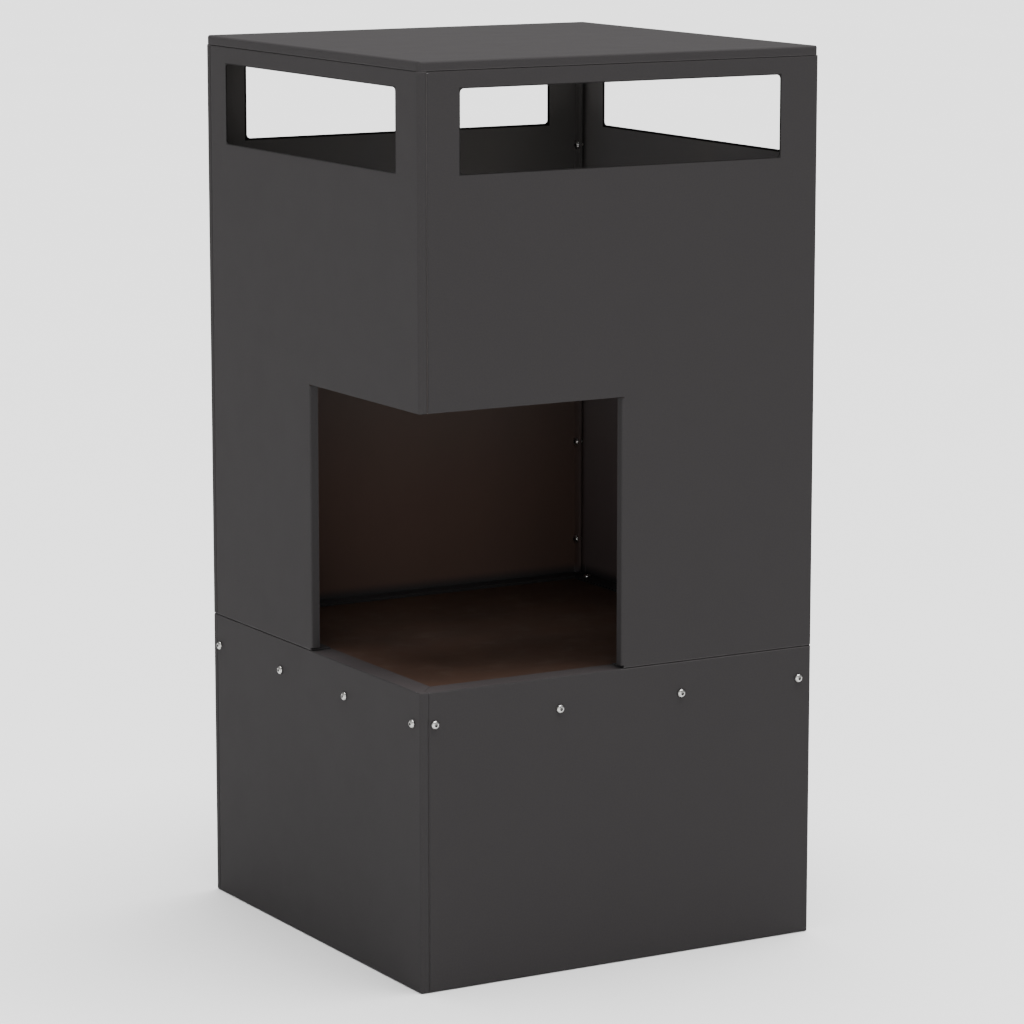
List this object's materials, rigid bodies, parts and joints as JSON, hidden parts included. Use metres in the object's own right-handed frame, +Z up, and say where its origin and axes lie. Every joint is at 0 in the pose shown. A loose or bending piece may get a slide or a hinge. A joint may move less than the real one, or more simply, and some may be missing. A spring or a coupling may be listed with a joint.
{
  "type": "chiminea",
  "caption": "Square garden chiminea of folded dark sheet steel, with a fire opening round one corner, a vent window in every side and a flat lid.",
  "frame": {"origin": "on the ground, under the middle of the square base", "axes": "+Z up; the front faces -Y and the left side faces -X, and the fire opening wraps round the corner between them"},
  "size_m": [0.4054, 0.4054, 0.8],
  "materials": {
    "coat": "matt anthracite heat-resistant powder coat on 1 mm steel sheet",
    "fire_floor_coat": "matt coat on 1.5 mm steel sheet, browned by heat and soot",
    "zinc": "bright zinc plate"
  },
  "bodies": {
    "root": {"face_screw_back_1": "zinc", "face_screw_back_2": "zinc", "face_screw_back_3": "zinc", "face_screw_back_4": "zinc", "face_screw_front_1": "zinc", "face_screw_front_2": "zinc", "face_screw_front_3": "zinc", "face_screw_front_4": "zinc", "face_screw_left_1": "zinc", "face_screw_left_2": "zinc", "face_screw_left_3": "zinc", "face_screw_left_4": "zinc", "face_screw_right_1": "zinc", "face_screw_right_2": "zinc", "face_screw_right_3": "zinc", "face_screw_right_4": "zinc", "fire_floor": "fire_floor_coat", "lid": "coat", "lid_nut_back": "zinc", "lid_nut_front": "zinc", "lid_nut_left": "zinc", "lid_nut_right": "zinc", "lower_corner_screw_back_left_1": "zinc", "lower_corner_screw_back_left_2": "zinc", "lower_corner_screw_back_right_1": "zinc", "lower_corner_screw_back_right_2": "zinc", "lower_corner_screw_front_left_1": "zinc", "lower_corner_screw_front_left_2": "zinc", "lower_corner_screw_front_right_1": "zinc", "lower_corner_screw_front_right_2": "zinc", "lower_panel_back": "coat", "lower_panel_front": "coat", "lower_panel_left": "coat", "lower_panel_right": "coat", "seam_screw_back": "zinc", "seam_screw_front": "zinc", "seam_screw_left": "zinc", "seam_screw_right": "zinc", "upper_corner_screw_back_left_1": "zinc", "upper_corner_screw_back_left_2": "zinc", "upper_corner_screw_back_left_3": "zinc", "upper_corner_screw_back_left_4": "zinc", "upper_corner_screw_back_left_5": "zinc", "upper_corner_screw_back_right_1": "zinc", "upper_corner_screw_back_right_2": "zinc", "upper_corner_screw_back_right_3": "zinc", "upper_corner_screw_back_right_4": "zinc", "upper_corner_screw_back_right_5": "zinc", "upper_corner_screw_front_left_1": "zinc", "upper_corner_screw_front_left_2": "zinc", "upper_corner_screw_front_right_1": "zinc", "upper_corner_screw_front_right_2": "zinc", "upper_corner_screw_front_right_3": "zinc", "upper_corner_screw_front_right_4": "zinc", "upper_corner_screw_front_right_5": "zinc", "upper_panel_back": "coat", "upper_panel_front": "coat", "upper_panel_left": "coat", "upper_panel_right": "coat"}
  },
  "joints": []
}
